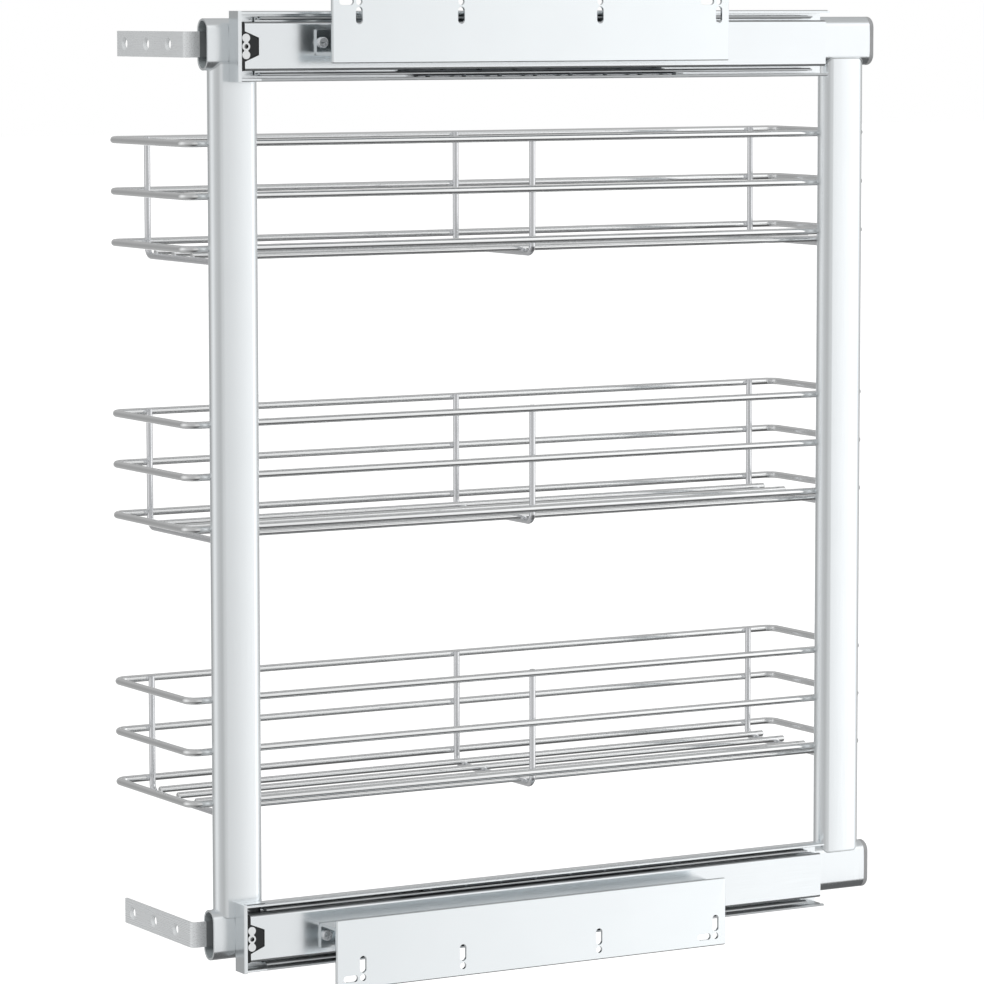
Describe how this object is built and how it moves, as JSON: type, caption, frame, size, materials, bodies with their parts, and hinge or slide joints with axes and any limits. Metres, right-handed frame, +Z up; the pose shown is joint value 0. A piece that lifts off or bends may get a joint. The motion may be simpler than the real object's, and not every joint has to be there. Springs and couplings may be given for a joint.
{
  "type": "pull-out wire basket",
  "caption": "Side-mounted cabinet pull-out: an oval-tube frame with wire baskets runs on ball-bearing slides, with brackets for the door and the cabinet's side wall.",
  "frame": {"origin": "on the lower mount plate's wall face, midway between its two end round holes", "axes": "+X towards the cabinet's side wall, +Y from the door to the cabinet's back, +Z up; the baskets pull out along -Y"},
  "size_m": [0.1675, 0.5266, 0.6426],
  "materials": {
    "plate_steel": "bright zinc-plated sheet",
    "slide_steel": "bright zinc-plated, roll-formed",
    "cage_steel": "oiled sheet steel",
    "ball_steel": "polished bearing steel",
    "screw_steel": "zinc-plated",
    "tube_steel": "silver lacquer, satin",
    "bracket_steel": "satin nickel-plated strip",
    "wire_chrome": "chrome-plated wire",
    "cross_wire_chrome": "chrome-plated wire",
    "cap_plastic": "moulded grey",
    "stop_plastic": "moulded black",
    "clip_plastic": "moulded white"
  },
  "bodies": {
    "cabinet_side": {"lower_mount_plate": "plate_steel", "upper_mount_plate": "plate_steel", "lower_mount_angle": "plate_steel", "upper_mount_angle": "plate_steel", "lower_bracket_screws": "screw_steel", "upper_bracket_screws": "screw_steel", "lower_inner_member": "slide_steel", "upper_inner_member": "slide_steel"},
    "carriage": {"lower_outer_channel": "slide_steel", "upper_outer_channel": "slide_steel", "lower_channel_rivets": "screw_steel", "upper_channel_rivets": "screw_steel", "lower_end_stop": "stop_plastic", "upper_end_stop": "stop_plastic", "lower_stop_clip": "clip_plastic", "upper_stop_clip": "clip_plastic", "lower_rail": "tube_steel", "upper_rail": "tube_steel", "lower_rail_cap": "cap_plastic", "upper_rail_cap": "cap_plastic", "lower_door_bracket": "bracket_steel", "upper_door_bracket": "bracket_steel", "front_post": "tube_steel", "rear_post": "tube_steel", "top_basket_rim_wire": "wire_chrome", "top_basket_middle_wire": "wire_chrome", "top_basket_lower_wire": "wire_chrome", "top_basket_cross_wires": "cross_wire_chrome", "top_basket_floor_wires": "wire_chrome", "middle_basket_rim_wire": "wire_chrome", "middle_basket_middle_wire": "wire_chrome", "middle_basket_lower_wire": "wire_chrome", "middle_basket_cross_wires": "cross_wire_chrome", "middle_basket_floor_wires": "wire_chrome", "bottom_basket_rim_wire": "wire_chrome", "bottom_basket_middle_wire": "wire_chrome", "bottom_basket_lower_wire": "wire_chrome", "bottom_basket_cross_wires": "cross_wire_chrome", "bottom_basket_floor_wires": "wire_chrome"},
    "lower_middle_slide": {"lower_middle_member": "slide_steel"},
    "lower_outer_cage": {"lower_outer_ball_cage": "cage_steel", "lower_outer_balls": "ball_steel"},
    "lower_inner_cage": {"lower_inner_ball_cage": "cage_steel", "lower_inner_balls": "ball_steel"},
    "upper_middle_slide": {"upper_middle_member": "slide_steel"},
    "upper_outer_cage": {"upper_outer_ball_cage": "cage_steel", "upper_outer_balls": "ball_steel"},
    "upper_inner_cage": {"upper_inner_ball_cage": "cage_steel", "upper_inner_balls": "ball_steel"}
  },
  "joints": [
    {"name": "pull_out", "type": "slide", "parent": "cabinet_side", "child": "carriage", "axis": [0, -1, 0], "range_m": [0, 0.45]},
    {"name": "lower_middle_slide_travel", "type": "slide", "parent": "cabinet_side", "child": "lower_middle_slide", "axis": [0, -1, 0], "range_m": [0, 0.225]},
    {"name": "lower_outer_cage_travel", "type": "slide", "parent": "cabinet_side", "child": "lower_outer_cage", "axis": [0, -1, 0], "range_m": [0, 0.3375]},
    {"name": "lower_inner_cage_travel", "type": "slide", "parent": "cabinet_side", "child": "lower_inner_cage", "axis": [0, -1, 0], "range_m": [0, 0.1125]},
    {"name": "upper_middle_slide_travel", "type": "slide", "parent": "cabinet_side", "child": "upper_middle_slide", "axis": [0, -1, 0], "range_m": [0, 0.225]},
    {"name": "upper_outer_cage_travel", "type": "slide", "parent": "cabinet_side", "child": "upper_outer_cage", "axis": [0, -1, 0], "range_m": [0, 0.3375]},
    {"name": "upper_inner_cage_travel", "type": "slide", "parent": "cabinet_side", "child": "upper_inner_cage", "axis": [0, -1, 0], "range_m": [0, 0.1125]}
  ],
  "couplings": [
    {"joint": "lower_middle_slide_travel", "follows": "pull_out", "ratio": 0.5},
    {"joint": "lower_outer_cage_travel", "follows": "pull_out", "ratio": 0.75},
    {"joint": "lower_inner_cage_travel", "follows": "pull_out", "ratio": 0.25},
    {"joint": "upper_middle_slide_travel", "follows": "pull_out", "ratio": 0.5},
    {"joint": "upper_outer_cage_travel", "follows": "pull_out", "ratio": 0.75},
    {"joint": "upper_inner_cage_travel", "follows": "pull_out", "ratio": 0.25}
  ]
}
